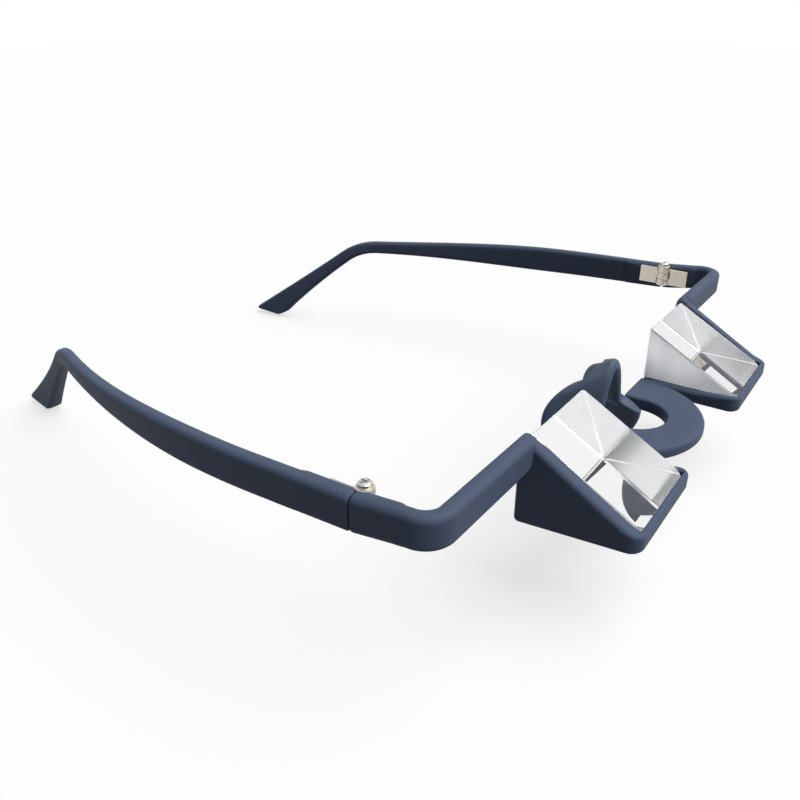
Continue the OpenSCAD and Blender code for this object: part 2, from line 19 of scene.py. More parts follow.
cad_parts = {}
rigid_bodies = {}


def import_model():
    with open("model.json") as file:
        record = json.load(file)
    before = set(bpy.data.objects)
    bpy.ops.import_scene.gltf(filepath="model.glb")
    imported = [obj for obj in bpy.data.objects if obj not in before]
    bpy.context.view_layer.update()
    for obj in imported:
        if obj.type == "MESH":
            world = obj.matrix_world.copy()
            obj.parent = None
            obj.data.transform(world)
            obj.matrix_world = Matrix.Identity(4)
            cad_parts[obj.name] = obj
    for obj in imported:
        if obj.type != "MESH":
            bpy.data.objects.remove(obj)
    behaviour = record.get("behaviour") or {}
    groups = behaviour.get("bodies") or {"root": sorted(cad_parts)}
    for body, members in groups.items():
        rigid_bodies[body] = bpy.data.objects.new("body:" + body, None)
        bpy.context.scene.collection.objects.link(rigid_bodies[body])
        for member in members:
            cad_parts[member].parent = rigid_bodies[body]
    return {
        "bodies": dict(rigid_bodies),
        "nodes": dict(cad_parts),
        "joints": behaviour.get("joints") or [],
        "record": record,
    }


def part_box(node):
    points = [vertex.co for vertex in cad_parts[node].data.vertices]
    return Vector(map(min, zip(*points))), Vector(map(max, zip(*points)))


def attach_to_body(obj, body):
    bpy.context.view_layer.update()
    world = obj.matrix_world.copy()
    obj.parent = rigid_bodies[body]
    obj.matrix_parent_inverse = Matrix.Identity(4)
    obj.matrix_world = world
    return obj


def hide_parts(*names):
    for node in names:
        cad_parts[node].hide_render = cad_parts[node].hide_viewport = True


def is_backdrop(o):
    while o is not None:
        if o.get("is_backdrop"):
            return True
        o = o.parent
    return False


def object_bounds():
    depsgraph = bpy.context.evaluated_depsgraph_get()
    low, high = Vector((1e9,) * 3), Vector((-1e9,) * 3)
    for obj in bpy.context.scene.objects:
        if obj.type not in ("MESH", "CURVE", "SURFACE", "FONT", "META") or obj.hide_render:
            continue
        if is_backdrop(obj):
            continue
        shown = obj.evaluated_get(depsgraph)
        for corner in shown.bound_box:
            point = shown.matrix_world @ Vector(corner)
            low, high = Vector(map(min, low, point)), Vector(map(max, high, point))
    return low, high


MM = 0.001
WHITE = (1, 1, 1, 1)
GLASS_INDEX = 1.52

# Distances from a rounded edge, in millimetres, at which its moulding gets a loop of vertices
TOP_LOOPS = (0.02, 0.08, 0.18, 0.32, 0.5, 0.7, 0.95, 1.17)
WALL_LOOPS = (-0.02, 0.02, 0.07, 0.16, 0.3, 0.6, 0.9)

log = logging.getLogger("belay_glasses")

Piece = bpy.types.Object
Socket = bpy.types.NodeSocket
Place = Callable[[float, float, float], Vector]


class Side(Enum):
    """The wearer's side that a piece belongs to."""

    RIGHT = "right"
    LEFT = "left"

    @property
    def sign(self) -> int:
        """Direction of this side along X."""
        return 1 if self is Side.LEFT else -1


class Element(Enum):
    """The kinds of mesh element that can be selected."""

    EDGE = "EDGE"
    FACE = "FACE"


# Selecting, cutting and finishing meshes


def clear_selection() -> None:
    """Leaves edit mode and deselects every object."""
    if bpy.context.object and bpy.context.object.mode != "OBJECT":
        bpy.ops.object.mode_set(mode="OBJECT")
    bpy.ops.object.select_all(action="DESELECT")


def activate(piece: Piece) -> None:
    """Makes one object the only selected and active one."""
    clear_selection()
    piece.select_set(True)
    bpy.context.view_layer.objects.active = piece


@contextmanager
def edit_mode(piece: Piece) -> Iterator[None]:
    """Holds a piece in edit mode for a with block, with everything selected at first."""
    activate(piece)
    bpy.ops.object.mode_set(mode="EDIT")
    bpy.ops.mesh.select_all(action="SELECT")
    try:
        yield
    finally:
        bpy.ops.object.mode_set(mode="OBJECT")


def pick(piece: Piece, element: Element, test: Callable) -> int:
    """Selects the elements of a piece in edit mode that pass a test.

    Args:
        piece: The object, in edit mode.
        element: Edges or faces.
        test: Takes a bmesh element and says whether it is wanted.

    Returns:
        The number of elements selected.
    """
    bpy.ops.mesh.select_mode(type=element.value)
    bpy.ops.mesh.select_all(action="DESELECT")
    mesh = bmesh.from_edit_mesh(piece.data)
    items = mesh.edges if element is Element.EDGE else mesh.faces
    wanted = [item for item in items if test(item)]
    for item in wanted:
        item.select_set(True)
    mesh.select_flush_mode()
    bmesh.update_edit_mesh(piece.data)
    return len(wanted)


def is_sharp(edge: bmesh.types.BMEdge, least: float = 35) -> bool:
    """Says whether the faces at an edge turn by more than least degrees."""
    return len(edge.link_faces) == 2 and edge.calc_face_angle(0) > math.radians(least)


def bevel(piece: Piece, test: Callable, width: float, segments: int = 5) -> None:
    """Rounds the edges of a piece that pass a test.

    Args:
        piece: The object.
        test: Takes an edge and says whether it is rounded.
        width: Radius of the rounding.
        segments: Number of faces across it.
    """
    with edit_mode(piece):
        if pick(piece, Element.EDGE, test):
            bpy.ops.mesh.bevel(offset=width, segments=segments, affect="EDGES", clamp_overlap=True)


def add_block(name: str, low: Sequence[float], high: Sequence[float]) -> Piece:
    """Adds a block between two corners.

    Args:
        name: Name of the new object.
        low: Its lowest corner.
        high: Its highest corner.

    Returns:
        The new object.
    """
    clear_selection()
    bpy.ops.mesh.primitive_cube_add(size=1)
    piece = bpy.context.object
    piece.name = name
    with edit_mode(piece):
        bpy.ops.transform.resize(value=Vector(high) - Vector(low))
        bpy.ops.transform.translate(value=(Vector(high) + Vector(low)) / 2)
    return piece


def add_disc(name: str, centre: Sequence[float], radius: float, depth: float, sides: int = 96) -> Piece:
    """Adds an upright round disc or rod, with its centre at a place.

    Args:
        name: Name of the new object.
        centre: Middle of the disc.
        radius: Its radius.
        depth: Its height.
        sides: Number of faces round it.

    Returns:
        The new object.
    """
    clear_selection()
    bpy.ops.mesh.primitive_cylinder_add(vertices=sides, radius=radius, depth=depth)
    piece = bpy.context.object
    piece.name = name
    with edit_mode(piece):
        bpy.ops.transform.translate(value=Vector(centre))
    return piece


def apply_modifier(piece: Piece, kind: str, **settings: object) -> None:
    """Adds a modifier with some settings to a piece and applies it.

    Args:
        piece: The object.
        kind: The modifier's type.
        **settings: Its settings, by name.
    """
    activate(piece)
    modifier = piece.modifiers.new(kind.lower(), kind)
    for key, value in settings.items():
        setattr(modifier, key, value)
    bpy.ops.object.modifier_apply(modifier=modifier.name)


def shape(piece: Piece, mover: Callable[[Vector], Vector]) -> None:
    """Moves each vertex of a piece to where mover puts it.

    Args:
        piece: The object.
        mover: Takes a vertex's place and gives its new one.
    """
    for vertex in piece.data.vertices:
        vertex.co = mover(vertex.co.copy())
    piece.data.update()


def cut_loops(piece: Piece, axis: int, places: Sequence[float]) -> None:
    """Cuts loops of vertices into a piece.

    Args:
        piece: The object.
        axis: 0 for X, 1 for Y and 2 for Z.
        places: The loops' places along the axis.
    """
    normal = Vector((0, 0, 0))
    normal[axis] = 1
    with edit_mode(piece):
        for place in places:
            bpy.ops.mesh.select_all(action="SELECT")
            bpy.ops.mesh.bisect(plane_co=normal * place, plane_no=normal)


def combine(body: Piece, others: Sequence[Piece], operation: str = "UNION") -> None:
    """Joins pieces to a body, or cuts them from it, and removes them.

    Args:
        body: The object that is changed.
        others: The objects joined to it or cut from it.
        operation: UNION, DIFFERENCE or INTERSECT.
    """
    for other in others:
        apply_modifier(body, "BOOLEAN", operation=operation, object=other, solver="EXACT")
        bpy.data.objects.remove(other, do_unlink=True)


def add_mirrored(piece: Piece) -> None:
    """Adds the mirror image of a piece, across the middle of the glasses, to its mesh."""
    apply_modifier(piece, "MIRROR", use_axis=(True, False, False), use_mirror_merge=False)


def flip_side(piece: Piece) -> None:
    """Turns a piece made for the left side into the one for the right side.

    Args:
        piece: The object.
    """
    shape(piece, lambda co: Vector((-co.x, co.y, co.z)))
    with edit_mode(piece):
        bpy.ops.mesh.flip_normals()


def swept_bar(
    name: str,
    size: Sequence[float],
    radius: float,
    stations: Sequence[float],
    place: Place,
    end_radius: Sequence[float] = (0, 0),
) -> Piece:
    """Makes a rounded bar that follows a path.

    Args:
        name: Name of the new object.
        size: Thickness, length and height of the straight bar that is bent.
        radius: Rounding of its long edges.
        stations: Distances along it at which it gets a loop of vertices.
        place: Takes the distance along the bar and the offsets across its thickness and height, and gives the point.
        end_radius: Rounding at the start and at the end.

    Returns:
        The new object.
    """
    thick, length, high = size
    bar = add_block(name, (-thick / 2, 0, -high / 2), (thick / 2, length, high / 2))

    def along(edge: bmesh.types.BMEdge) -> bool:
        """Says whether an edge runs the length of the bar."""
        return abs(edge.verts[0].co.y - edge.verts[1].co.y) > length / 2

    bevel(bar, along, radius, 5)
    for end, rounding in ((0, end_radius[0]), (length, end_radius[1])):
        if rounding:
            bevel(bar, lambda e: all(abs(v.co.y - end) < 1e-4 for v in e.verts), rounding, 4)
    cut_loops(bar, 1, stations)
    shape(bar, lambda co: place(co.y, co.x, co.z))
    return bar


def even_shading(piece: Piece, angle: float) -> None:
    """Shades a piece smoothly up to an angle, with its large faces kept flat.

    Args:
        piece: The object.
        angle: Edges that turn by more degrees than this stay sharp.
    """
    activate(piece)
    bpy.ops.object.shade_smooth_by_angle(angle=math.radians(angle))
    apply_modifier(piece, "WEIGHTED_NORMAL", keep_sharp=True)


def finish_mesh(piece: Piece, angle: float = 32) -> None:
    """Merges, shades and brings a piece modelled in millimetres to metres.

    Args:
        piece: The object.
        angle: Edges that turn by more than this stay sharp.
    """
    with edit_mode(piece):
        bpy.ops.mesh.remove_doubles(threshold=1e-4)
        bpy.ops.mesh.normals_make_consistent(inside=False)
    even_shading(piece, angle)
    piece.data.transform(Matrix.Scale(MM, 4))
    piece.data.update()


def dress(piece: Piece, *materials: bpy.types.Material) -> None:
    """Gives a piece its materials, in the order of their slots.

    Args:
        piece: The object.
        *materials: The material of each slot.
    """
    piece.data.materials.clear()
    for material in materials:
        piece.data.materials.append(material)


# Shader arithmetic and finishes


class Signal:
    """A shader value that Python arithmetic can be done with."""

    def __init__(self, tree: "Shader", socket: Socket) -> None:
        """Wraps one output socket of a shader's node tree."""
        self.tree = tree
        self.socket = socket

    def _with(self, operation: str, first: object, second: object) -> "Signal":
        """Adds a Math node on two values."""
        node = self.tree.add("ShaderNodeMath", {"operation": operation}, {0: first, 1: second})
        return Signal(self.tree, node.outputs[0])

    def __add__(self, other: object) -> "Signal":
        """This value plus another."""
        return self._with("ADD", self, other)

    __radd__ = __add__

    def __mul__(self, other: object) -> "Signal":
        """This value times another."""
        return self._with("MULTIPLY", self, other)

    __rmul__ = __mul__

    def __sub__(self, other: object) -> "Signal":
        """This value less another."""
        return self._with("SUBTRACT", self, other)

    def __rsub__(self, other: object) -> "Signal":
        """Another value less this one."""
        return self._with("SUBTRACT", other, self)

    def largest(self, other: object) -> "Signal":
        """The larger of this value and another."""
        return self._with("MAXIMUM", self, other)


class Shader:
    """A material's or a world's node tree, filled node by node."""

    def __init__(self, owner: bpy.types.ID) -> None:
        """Empties the owner's tree and keeps its output.

        Args:
            owner: The material or world.
        """
        owner.use_nodes = True
        self.tree = owner.node_tree
        self.tree.nodes.clear()
        kind = "ShaderNodeOutputWorld" if isinstance(owner, bpy.types.World) else "ShaderNodeOutputMaterial"
        self.output = self.tree.nodes.new(kind)

    def add(self, kind: str, settings: dict | None = None, inputs: dict | None = None) -> bpy.types.Node:
        """Adds any node.

        Args:
            kind: The node's type.
            settings: Its settings, and under stops the positions and colours of a ramp.
            inputs: Values or links of its sockets, by name or number.

        Returns:
            The new node.
        """
        node = self.tree.nodes.new(kind)
        for key, value in (settings or {}).items():
            if key == "stops":
                while len(node.color_ramp.elements) < len(value):
                    node.color_ramp.elements.new(0.5)
                for element, (position, colour) in zip(node.color_ramp.elements, value):
                    element.position = position
                    element.color = (*colour, 1)
            else:
                setattr(node, key, value)
        for key, value in (inputs or {}).items():
            if isinstance(value, Signal):
                self.tree.links.new(value.socket, node.inputs[key])
            elif isinstance(value, Socket):
                self.tree.links.new(value, node.inputs[key])
            else:
                node.inputs[key].default_value = value
        return node

    def noise(self, scale: float, detail: float = 3, stretch: Sequence[float] = (1, 1, 1)) -> Signal:
        """Gives noise on the piece's own coordinates.

        Args:
            scale: Number of grains in a metre.
            detail: Number of finer layers.
            stretch: How much the coordinates are stretched along each axis.

        Returns:
            The noise, from 0 to 1.
        """
        where = self.add("ShaderNodeTexCoord").outputs["Object"]
        mapped = self.add("ShaderNodeMapping", {}, {"Vector": where, "Scale": stretch}).outputs["Vector"]
        node = self.add("ShaderNodeTexNoise", {}, {"Vector": mapped, "Scale": scale, "Detail": detail})
        return Signal(self, node.outputs[0])

    def blend(self, factor: Signal, first: Sequence[float], second: Sequence[float]) -> Socket:
        """Mixes two colours by a factor."""
        node = self.add("ShaderNodeMix", {"data_type": "RGBA"}, {0: factor, 6: (*first, 1), 7: (*second, 1)})
        return node.outputs[2]

    def bump(self, height: Signal, distance: float, strength: float) -> Socket:
        """Turns a height into a normal, with its distance in metres."""
        node = self.add("ShaderNodeBump", {}, {"Height": height, "Distance": distance, "Strength": strength})
        return node.outputs["Normal"]

    def principled(self, inputs: dict) -> Socket:
        """Adds a Principled surface with some inputs."""
        return self.add("ShaderNodeBsdfPrincipled", {}, inputs).outputs[0]

    def mix(self, factor: object, first: Socket, second: Socket) -> Socket:
        """Mixes two surfaces by a factor."""
        return self.add("ShaderNodeMixShader", {}, {0: factor, 1: first, 2: second}).outputs[0]

    def finish(self, surface: Socket) -> None:
        """Links a surface to the output."""
        self.tree.links.new(surface, self.output.inputs["Surface"])


@dataclass(frozen=True)
class Finish:
    """A procedural material with a slightly uneven colour and roughness."""

    name: str
    colour: tuple[float, float, float]
    shade: float = 0.97
    roughness: float = 0.45
    vary: float = 0.1
    cloud_scale: float = 500
    metallic: float = 0.0

    def surface(self, shader: Shader) -> Socket:
        """Adds the finish's nodes and gives its surface.

        Args:
            shader: The material's node tree.

        Returns:
            The surface's socket.
        """
        cloud = shader.noise(self.cloud_scale, 2)
        colour = self.tone(shader, cloud)
        return shader.principled({"Base Color": colour, "Roughness": self.uneven(cloud), "Metallic": self.metallic})

    def tone(self, shader: Shader, factor: Signal) -> Socket:
        """Mixes the colour with its darker shade by a factor."""
        return shader.blend(factor, tuple(channel * self.shade for channel in self.colour), self.colour)

    def uneven(self, cloud: Signal) -> Signal:
        """Varies the roughness on both sides of its middle."""
        return cloud * self.vary + (self.roughness - self.vary / 2)

    def build(self) -> bpy.types.Material:
        """Makes the material.

        Returns:
            The new material.
        """
        material = bpy.data.materials.new(self.name)
        shader = Shader(material)
        shader.finish(self.surface(shader))
        return material


@dataclass(frozen=True)
class SoftTouch(Finish):
    """Matt moulded plastic with a fine grain and a soft, slightly uneven sheen."""

    name: str = "soft_touch_navy"
    colour: tuple[float, float, float] = (0.080, 0.106, 0.168)
    shade: float = 0.88
    roughness: float = 0.6
    specular: float = 0.12
    grain_scale: float = 5200
    grain_height: float = 0.000018
    grain_share: float = 0.3
    cloud_scale: float = 130

    def surface(self, shader: Shader) -> Socket:
        """Adds the finish's nodes and gives its surface.

        Args:
            shader: The material's node tree.

        Returns:
            The surface's socket.
        """
        grain = shader.noise(self.grain_scale, 2)
        cloud = shader.noise(self.cloud_scale)
        return shader.principled({
            "Base Color": self.tone(shader, cloud * (1 - self.grain_share) + grain * self.grain_share),
            "Roughness": self.uneven(cloud),
            "Specular IOR Level": self.specular,
            "Normal": shader.bump(grain, self.grain_height, 0.6),
        })


@dataclass(frozen=True)
class PolishedGlass(Finish):
    """Clear optical glass with faint smears."""

    name: str = "polished_glass"
    colour: tuple[float, float, float] = (0.985, 0.995, 0.995)
    roughness: float = 0.012
    smear_scale: float = 60

    def surface(self, shader: Shader) -> Socket:
        """Adds the finish's nodes and gives its surface.

        Args:
            shader: The material's node tree.

        Returns:
            The surface's socket.
        """
        return shader.principled({
            "Base Color": (*self.colour, 1),
            "Roughness": shader.noise(self.smear_scale) * self.roughness,
            "IOR": GLASS_INDEX,
            "Transmission Weight": 1.0,
        })


@dataclass(frozen=True)
class GroundGlass(Finish):
    """The fine-ground nose side and edges of a prism, frosted from outside and nearly clear from inside."""

    name: str = "ground_glass"
    colour: tuple[float, float, float] = (0.97, 0.975, 0.985)
    roughness: float = 0.42
    through: float = 0.6
    clear: float = 0.85
    inner: float = 0.18
    bloom: float = 0.12
    grit_scale: float = 9000
    grit_height: float = 0.000002
    cloud_scale: float = 90

    def surface(self, shader: Shader) -> Socket:
        """Adds the finish's nodes and gives its surface.

        Args:
            shader: The material's node tree.

        Returns:
            The surface's socket.
        """
        cloud = shader.noise(self.cloud_scale)
        colour = self.tone(shader, cloud)
        glass = shader.principled({
            "Base Color": colour,
            "Roughness": self.uneven(cloud),
            "IOR": GLASS_INDEX,
            "Transmission Weight": 1.0,
            "Normal": shader.bump(shader.noise(self.grit_scale, 2), self.grit_height, 0.3),
        })
        back = shader.add("ShaderNodeBsdfDiffuse", {}, {"Color": colour}).outputs[0]
        through = shader.add("ShaderNodeBsdfTranslucent", {}, {"Color": colour}).outputs[0]
        frosted = shader.mix(self.clear, shader.mix(self.through, back, through), glass)
        clean = shader.add("ShaderNodeBsdfGlass", {}, {"Color": WHITE, "Roughness": self.inner, "IOR": GLASS_INDEX})
        inner = shader.mix(self.bloom, clean.outputs[0], back)
        inside = Signal(shader, shader.add("ShaderNodeNewGeometry").outputs["Backfacing"])
        return shader.mix(inside, frosted, inner)


@dataclass(frozen=True)
class Metal(Finish):
    """Bare metal with fine drawn lines along one direction."""

    shade: float = 0.86
    vary: float = 0.12
    cloud_scale: float = 400
    line_scale: float = 9000
    line_height: float = 0.000004
    stretch: tuple[float, float, float] = (1, 0.06, 1)

    def surface(self, shader: Shader) -> Socket:
        """Adds the finish's nodes and gives its surface.

        Args:
            shader: The material's node tree.

        Returns:
            The surface's socket.
        """
        lines = shader.noise(self.line_scale, 3, self.stretch)
        cloud = shader.noise(self.cloud_scale, 2)
        return shader.principled({
            "Base Color": self.tone(shader, cloud),
            "Roughness": self.uneven(cloud),
            "Metallic": 1.0,
            "Normal": shader.bump(lines, self.line_height, 0.5),
        })


def silvering(name: str, haze: float) -> Finish:
    """Gives the mirror coating of a prism, with up to some haze in its reflections."""
    return Finish(name, (0.975, 0.98, 0.985), shade=0.98, roughness=haze / 2, vary=haze, cloud_scale=40, metallic=1.0)


# The pieces


def smooth(value: float, start: float, end: float) -> float:
    """Gives 0 up to start, 1 from end on, and a soft rise between them.

    Args:
        value: Any value.
        start: Where the rise starts.
        end: Where it ends.

    Returns:
        The share, from 0 to 1.
    """
    share = min(max((value - start) / (end - start), 0), 1)
    return share * share * (3 - 2 * share)


def bend(value: float, reach: float) -> float:
    """Gives 0 for negative values and the value itself above, with a soft turn of some reach between."""
    return (value + reach) ** 2 / (4 * reach) if abs(value) < reach else max(value, 0)


def rounding(distance: float, radius: float) -> float:
    """Gives how far a rounded edge has dropped, at a distance from the wall.

    Args:
        distance: Distance from the wall.
        radius: Radius of the rounding.

    Returns:
        The drop.
    """
    short = radius - min(max(distance, 0), radius)
    return radius - math.sqrt(radius * radius - short * short)


@dataclass
class Layout:
    """Places shared by the pieces, in millimetres, read from the solid model, and the sizes at the hinges."""

    glass_low: Vector
    glass_high: Vector
    axis: Vector
    leaf_low: float
    half_width: float
    land: float = 0.35
    play: float = 0.1
    end: float = 3.45
    end_ramp: float = 1.5
    leaf_high: float = 4.4
    leaf_lift: float = 0.3
    leaf_length: float = 6.4
    leaf_sink: float = 0.55
    relief: float = 1.8
    joint_gap: float = 0.3
    axis_ahead: float = 0.4

    @classmethod
    def read(cls, frame: dict) -> "Layout":
        """Reads the left prism's box, the left hinge's axis and leaf, and the half width.

        Args:
            frame: The loaded frame.

        Returns:
            The layout.
        """
        glass_low, glass_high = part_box("prism_left")
        hinge = next(joint for joint in frame["joints"] if joint["name"] == "left_temple_hinge")
        leaf_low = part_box("front_leaf_left")[0].z
        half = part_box("front_frame")[1].x
        return cls(glass_low / MM, glass_high / MM, Vector(hinge["pos_m"]) / MM, leaf_low / MM, half / MM)

    @property
    def joint_y(self) -> float:
        """Middle of the gap between end-piece and temple."""
        return self.axis.y + self.axis_ahead

    @property
    def end_middle(self) -> float:
        """Height of the middle of the end-piece and of the temple's start."""
        return self.leaf_low + self.leaf_high / 2 - self.leaf_lift

    @property
    def boss_x(self) -> float:
        """Inner face of the moulding beside the hinge."""
        return self.half_width - self.end

    def hinge_room(self, side: int) -> list[Piece]:
        """Makes the cutters for the barrel and for one leaf.

        Args:
            side: 1 for the temple's leaf, behind the axis, and -1 for the front's.

        Returns:
            The cutters.
        """
        middle = self.leaf_low + self.leaf_high / 2
        barrel = add_disc("barrel_room", (self.axis.x, self.axis.y, middle), self.relief, 9, 64)
        reach = sorted((self.axis.y, self.axis.y + side * (self.leaf_length + 0.05)))
        half = self.leaf_high / 2 + 0.05
        low = (self.boss_x - 1, reach[0], middle - half)
        pocket = add_block("leaf_room", low, (self.boss_x + self.leaf_sink, reach[1], middle + half))
        return [barrel, pocket]


@dataclass
class FrontMoulding:
    """The bridge plate, glass trays, side plates, arms and end-pieces, moulded in one."""

    layout: Layout
    floor: float = 2.55
    lip: float = 1.0
    lip_rise: float = 0.7
    rim: float = 1.75
    rim_fall: float = 8.0
    side: float = 2.6
    side_rise: float = 0.65
    side_drop: float = 1.8
    side_corner: float = 1.2
    rear_margin: float = 1.0
    tray_radius: float = 2.4
    lip_edge: float = 0.65
    rim_edge: float = 0.85
    side_edge: float = 1.2
    foot_edge: float = 0.9
    inner_edge: float = 0.3
    soft: float = 1.2
    crown_radius: float = 1.6
    crown_edge: float = 0.7
    crown_turn: float = 0.4
    crown_run: float = 5.0
    crown_step: float = 0.35
    crown_land: float = 1.0
    side_run: float = 3.0
    turn: float = 1.5
    plate: float = 2.8
    plate_edge: float = 1.0
    gap_edge: float = 0.6
    plate_reach: float = 1.0
    plate_band: float = 7.2
    plate_tuck: float = 0.6
    gap_radius: float = 7.0
    gap_depth: float = 11.0
    arm_sink: float = 0.5
    arm_inset: float = 0.15
    arm_high: float = 6.0
    arm: float = 3.0
    arm_rise: float = 3.0
    arm_start: float = 0.9
    arm_clear: float = 1.5
    arm_under: float = 0.02
    corner: float = 5.3
    end_high: float = 6.6
    boss_land: float = 0.6

    def __post_init__(self) -> None:
        """Works out the shared planes."""
        low, high = self.layout.glass_low, self.layout.glass_high
        self.lip_y = low.y - self.layout.play
        self.lip_z = low.z + self.lip_rise
        self.front_y = self.lip_y - self.lip
        self.rear_y = high.y + self.rear_margin
        self.side_x = high.x + self.layout.play
        self.outer_x = self.side_x + self.side
        self.inner_x = low.x - self.rim
        self.rim_x = low.x - self.layout.play
        self.slope = (high.z - low.z - self.layout.land + self.side_rise) / (high.y - low.y)
        self.turn_y = low.y + (self.lip_rise - self.layout.land) / self.slope
        self.end_y = self.layout.joint_y - self.layout.joint_gap / 2
        self.crown_z = self.lip_z + (self.rear_y - self.turn_y) * self.slope - self.arm_sink

    def ridge(self, y: float) -> float:
        """Gives the height of a side plate's top: level with the lip, rising beside the prism, level at the crown."""
        rise = self.slope * bend(y - self.turn_y, self.turn)
        return self.crown_z - bend(self.crown_z - self.lip_z - rise, self.crown_turn)

    def inward(self, x: float, y: float) -> float:
        """Gives the distance in plan from the outline of the tray and side plate.

        Args:
            x: Place across the glasses.
            y: Place along them.

        Returns:
            The distance, measured round the corners too.
        """
        outer, inner = self.outer_x - x, x - self.inner_x
        front, rear = y - self.front_y, self.rear_y - y
        corners = ((outer, front, self.tray_radius), (inner, front, self.tray_radius), (outer, rear, self.side_corner))
        for across, along, radius in corners:
            if across < radius and along < radius:
                return radius - math.hypot(radius - across, radius - along)
        return min(outer, inner, front, rear)

    def top(self, x: float, y: float) -> float:
        """Gives the height of the rounded top: nose-side rim, lip and side plate, and any height over the prism.

        Args:
            x: Place across the glasses.
            y: Place along them.

        Returns:
            The height.
        """
        fall = self.lip_rise * min(max((y - self.lip_y) / self.rim_fall, 0), 1)
        share = min(max((x - self.rim_x) / (self.side_x - self.rim_x), 0), 1)
        level = (self.lip_z - fall) * (1 - share) + self.ridge(y) * share
        behind = smooth(y, self.lip_y, self.lip_y + self.side_run)
        crown_y = self.rear_y - self.crown_land
        wide = self.side_edge - (self.side_edge - self.soft) * smooth(y, self.rear_y - self.side_run, crown_y)
        edge = self.lip_edge + ((wide if share > 0.5 else self.rim_edge) - self.lip_edge) * behind
        inner = self.inner_edge + (self.soft - self.inner_edge) * smooth(y, self.rear_y - self.crown_run, crown_y)
        gap = math.hypot(max(self.rim_x - x, x - self.side_x, 0), max(self.lip_y - y, 0))
        return level - max(rounding(self.inward(x, y), edge) + rounding(gap, inner), self.crown_fall(x, y))

    def crown_fall(self, x: float, y: float) -> float:
        """Gives how far the crown is rounded off where the side plate's ridge turns into the arm.

        Args:
            x: Place across the glasses.
            y: Place along them.

        Returns:
            The drop.
        """
        across, along, radius = x - self.side_x, self.rear_y - y, self.crown_radius
        if not (-self.layout.play < across < radius and along < radius):
            return 0
        return rounding(radius - math.hypot(radius - across, radius - along), self.crown_edge)

    def foot(self, x: float, y: float) -> float:
        """Gives the height of the rounded underside, which falls to the rear under the side plate."""
        drop = self.side_drop * (y - self.front_y) / (self.rear_y - self.front_y) if x > self.side_x else 0
        return rounding(self.inward(x, y), self.foot_edge) - drop

    def tray(self) -> Piece:
        """Makes the left tray and side plate from one block.

        Returns:
            The new object.
        """
        low, high = self.layout.glass_low, self.layout.glass_high
        block = add_block("tray", (self.inner_x, self.front_y, 0), (self.outer_x, self.rear_y, 1))

        def upright(edge: bmesh.types.BMEdge) -> bool:
            """Says whether an edge stands upright."""
            return abs(edge.verts[0].co.z - edge.verts[1].co.z) > 0.9

        bevel(block, lambda e: upright(e) and e.verts[0].co.y < self.lip_y, self.tray_radius, 12)
        bevel(block, lambda e: upright(e) and min(v.co.x for v in e.verts) > self.outer_x - 0.01
              and e.verts[0].co.y > self.rear_y - 0.01, self.side_corner, 8)
        for up in (1, -1):
            with edit_mode(block):
                pick(block, Element.FACE, lambda f: f.normal.z * up > 0.9)
                for before, after in zip((0, *TOP_LOOPS), TOP_LOOPS):
                    bpy.ops.mesh.inset(thickness=after - before)
        near = WALL_LOOPS[:5]
        cut_loops(block, 0, [self.side_x + step for step in WALL_LOOPS] + [self.rim_x - step for step in near])
        cut_loops(block, 1, [self.lip_y - step for step in near])
        cut_loops(block, 1, [self.turn_y + self.turn * (i / 5 - 1) for i in range(11)])
        crown_loops = [self.rear_y - self.crown_run + self.crown_step * i for i in range(14)]
        cut_loops(block, 1, [self.lip_y + self.rim_fall] + crown_loops)
        shape(block, lambda co: Vector((co.x, co.y, self.top(co.x, co.y) if co.z > 0.5 else self.foot(co.x, co.y))))
        seat = add_block("seat", (self.rim_x, self.lip_y, self.floor), (self.side_x, self.rear_y + 1, 20))
        behind = add_block("behind", (self.inner_x - 1, high.y, -9), (self.side_x, self.rear_y + 1, 20))
        combine(block, [seat, behind], "DIFFERENCE")
        return block

    def arm_bar(self) -> Piece:
        """Makes the left arm, which turns the corner, sinks a little and thickens to the hinge.

        Returns:
            The new object.
        """
        start = self.side_x + self.arm_inset
        bend_x = self.layout.half_width - self.corner
        middle = self.corner - self.arm / 2
        arc = middle * math.pi / 2
        centre_y = self.rear_y - self.arm + self.corner
        level = self.crown_z - self.arm_high / 2
        straight = bend_x - start
        end_length = self.end_y - centre_y
        boss = self.layout.axis.y - self.layout.leaf_length - self.boss_land - centre_y

        def place(s: float, a: float, b: float) -> Vector:
            """Puts a point of the straight bar on the arm.

            Args:
                s: Distance along the bar.
                a: Offset across its thickness.
                b: Offset along its height.

            Returns:
                The point on the left arm.
            """
            turned = min(max(s - straight, 0), arc) / middle
            ahead = max(s - straight - arc, 0)
            share = ahead / end_length
            extra = (self.layout.end - self.arm) * smooth(ahead, boss - self.layout.end_ramp, boss)
            reach = middle + a - extra * (0.5 - a / self.arm)
            x = bend_x + min(s - straight, 0) + reach * math.sin(turned)
            sunk = (self.layout.end_middle - level) * share
            y = centre_y - reach * math.cos(turned) + ahead
            z = level + sunk + b * (1 + (self.end_high / self.arm_high - 1) * share)
            above = self.arm_rise * smooth(x, self.outer_x - self.arm_start, self.outer_x + self.arm_clear)
            return Vector((x, y, min(z, self.ridge(y) - self.arm_under + above)))

        stations = [0.4 * i for i in range(1, 12)] + [straight + arc * i / 14 for i in range(15)]
        stations += [straight + arc + boss - self.layout.end_ramp * i / 6 for i in range(7)]
        size = (self.arm, straight + arc + end_length, self.arm_high)
        return swept_bar("arm", size, self.soft, stations, place, (self.soft, 0.4))

